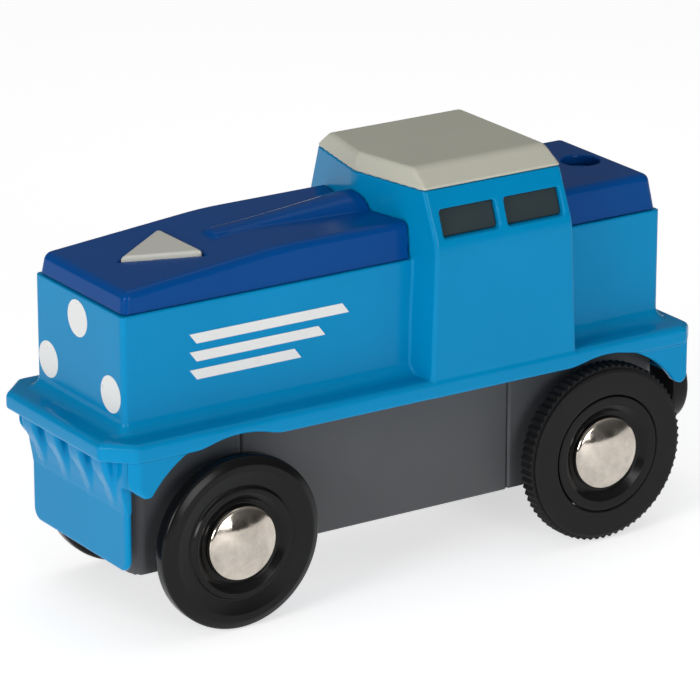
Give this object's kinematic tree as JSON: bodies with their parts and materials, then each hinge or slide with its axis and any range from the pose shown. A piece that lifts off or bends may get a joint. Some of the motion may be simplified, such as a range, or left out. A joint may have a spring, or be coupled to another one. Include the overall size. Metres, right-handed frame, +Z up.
{
  "type": "toy train locomotive",
  "caption": "Battery toy locomotive for wooden railway track: hood and cab shell, start and stop buttons on a rocker, geared rear axle, free front axle, rear magnet coupling.",
  "frame": {"origin": "on the ground under the middle of the locomotive's length and width", "axes": "+X towards the front of the locomotive, +Y to its left side, +Z up"},
  "size_m": [0.0938, 0.032, 0.0532],
  "materials": {
    "light_blue": "moulded satin gloss",
    "dark_blue": "moulded satin gloss",
    "cream": "moulded satin",
    "grey": "moulded satin",
    "window_grey": "moulded satin",
    "black_plastic": "moulded gloss",
    "tyre": "matt",
    "white": "moulded satin",
    "nickel": "nickel plated, polished",
    "steel": "drawn",
    "brass": "stamped",
    "ferrite": "ground ceramic",
    "gear_white": "moulded acetal",
    "battery_jacket": "shrink film"
  },
  "bodies": {
    "chassis": {"body_shell": "light_blue", "front_hood_cover": "dark_blue", "rear_hood_cover": "dark_blue", "cab_roof": "cream", "window_insert_left": "window_grey", "window_insert_right": "window_grey", "chassis_frame": "grey", "gear_case": "black_plastic", "gear_case_cover": "black_plastic", "motor": "steel", "first_idler_shaft": "steel", "second_idler_shaft": "steel", "battery_cell": "battery_jacket", "battery_spring": "steel", "negative_contact_plate": "brass", "positive_contact_plate": "brass", "switch_contact_blade": "brass", "rocker_pin": "steel", "body_screw_left": "steel", "body_screw_right": "steel", "coupling_holder": "black_plastic", "coupling_magnet": "ferrite"},
    "battery_hatch": {"battery_hatch": "grey", "hatch_screw": "steel"},
    "front_wheelset": {"front_axle": "steel", "front_wheel_left": "black_plastic", "front_wheel_right": "black_plastic", "front_hub_cap_left": "nickel", "front_hub_cap_right": "nickel"},
    "rear_wheelset": {"rear_axle": "steel", "rear_wheel_hub_left": "black_plastic", "rear_wheel_hub_right": "black_plastic", "rear_tyre_left": "tyre", "rear_tyre_right": "tyre", "rear_hub_cap_left": "nickel", "rear_hub_cap_right": "nickel", "axle_gear": "gear_white"},
    "second_idler": {"second_idler_gear": "gear_white"},
    "first_idler": {"first_idler_gear": "gear_white"},
    "motor_shaft": {"motor_pinion": "brass"},
    "switch_rocker": {"switch_rocker": "gear_white"},
    "start_button": {"start_button": "white"},
    "stop_button": {"stop_button": "dark_blue"}
  },
  "joints": [
    {"name": "front_wheelset_spin", "type": "hinge", "parent": "chassis", "child": "front_wheelset", "pos_m": [0.02876, 0, 0.01125], "axis": [0, 1, 0], "continuous": true},
    {"name": "rear_wheelset_spin", "type": "hinge", "parent": "chassis", "child": "rear_wheelset", "pos_m": [-0.02629, 0, 0.01187], "axis": [0, 1, 0], "continuous": true},
    {"name": "second_idler_spin", "type": "hinge", "parent": "chassis", "child": "second_idler", "pos_m": [-0.02348, 0, 0.01819], "axis": [0, 1, 0], "continuous": true},
    {"name": "first_idler_spin", "type": "hinge", "parent": "chassis", "child": "first_idler", "pos_m": [-0.02878, 0, 0.02264], "axis": [0, 1, 0], "continuous": true},
    {"name": "motor_shaft_spin", "type": "hinge", "parent": "chassis", "child": "motor_shaft", "pos_m": [-0.02452, 0, 0.02809], "axis": [0, 1, 0], "continuous": true},
    {"name": "switch_rocker_tilt", "type": "hinge", "parent": "chassis", "child": "switch_rocker", "pos_m": [0, 0, 0.0362], "axis": [0, 1, 0], "range_deg": [0, 2.2]},
    {"name": "start_button_press", "type": "slide", "parent": "chassis", "child": "start_button", "axis": [0, 0, -1], "range_m": [0, 0.0012]},
    {"name": "stop_button_rise", "type": "slide", "parent": "chassis", "child": "stop_button", "axis": [0, 0, 1], "range_m": [0, 0.00125]},
    {"name": "battery_hatch_drop", "type": "slide", "parent": "chassis", "child": "battery_hatch", "axis": [0, 0, -1], "range_m": [0, 0.018]}
  ],
  "couplings": [
    {"joint": "second_idler_spin", "follows": "rear_wheelset_spin", "ratio": -3.25},
    {"joint": "first_idler_spin", "follows": "rear_wheelset_spin", "ratio": 10.562},
    {"joint": "motor_shaft_spin", "follows": "rear_wheelset_spin", "ratio": -34.328},
    {"joint": "start_button_press", "follows": "switch_rocker_tilt", "m_per_rad": 0.0308},
    {"joint": "stop_button_rise", "follows": "switch_rocker_tilt", "m_per_rad": 0.0322}
  ]
}
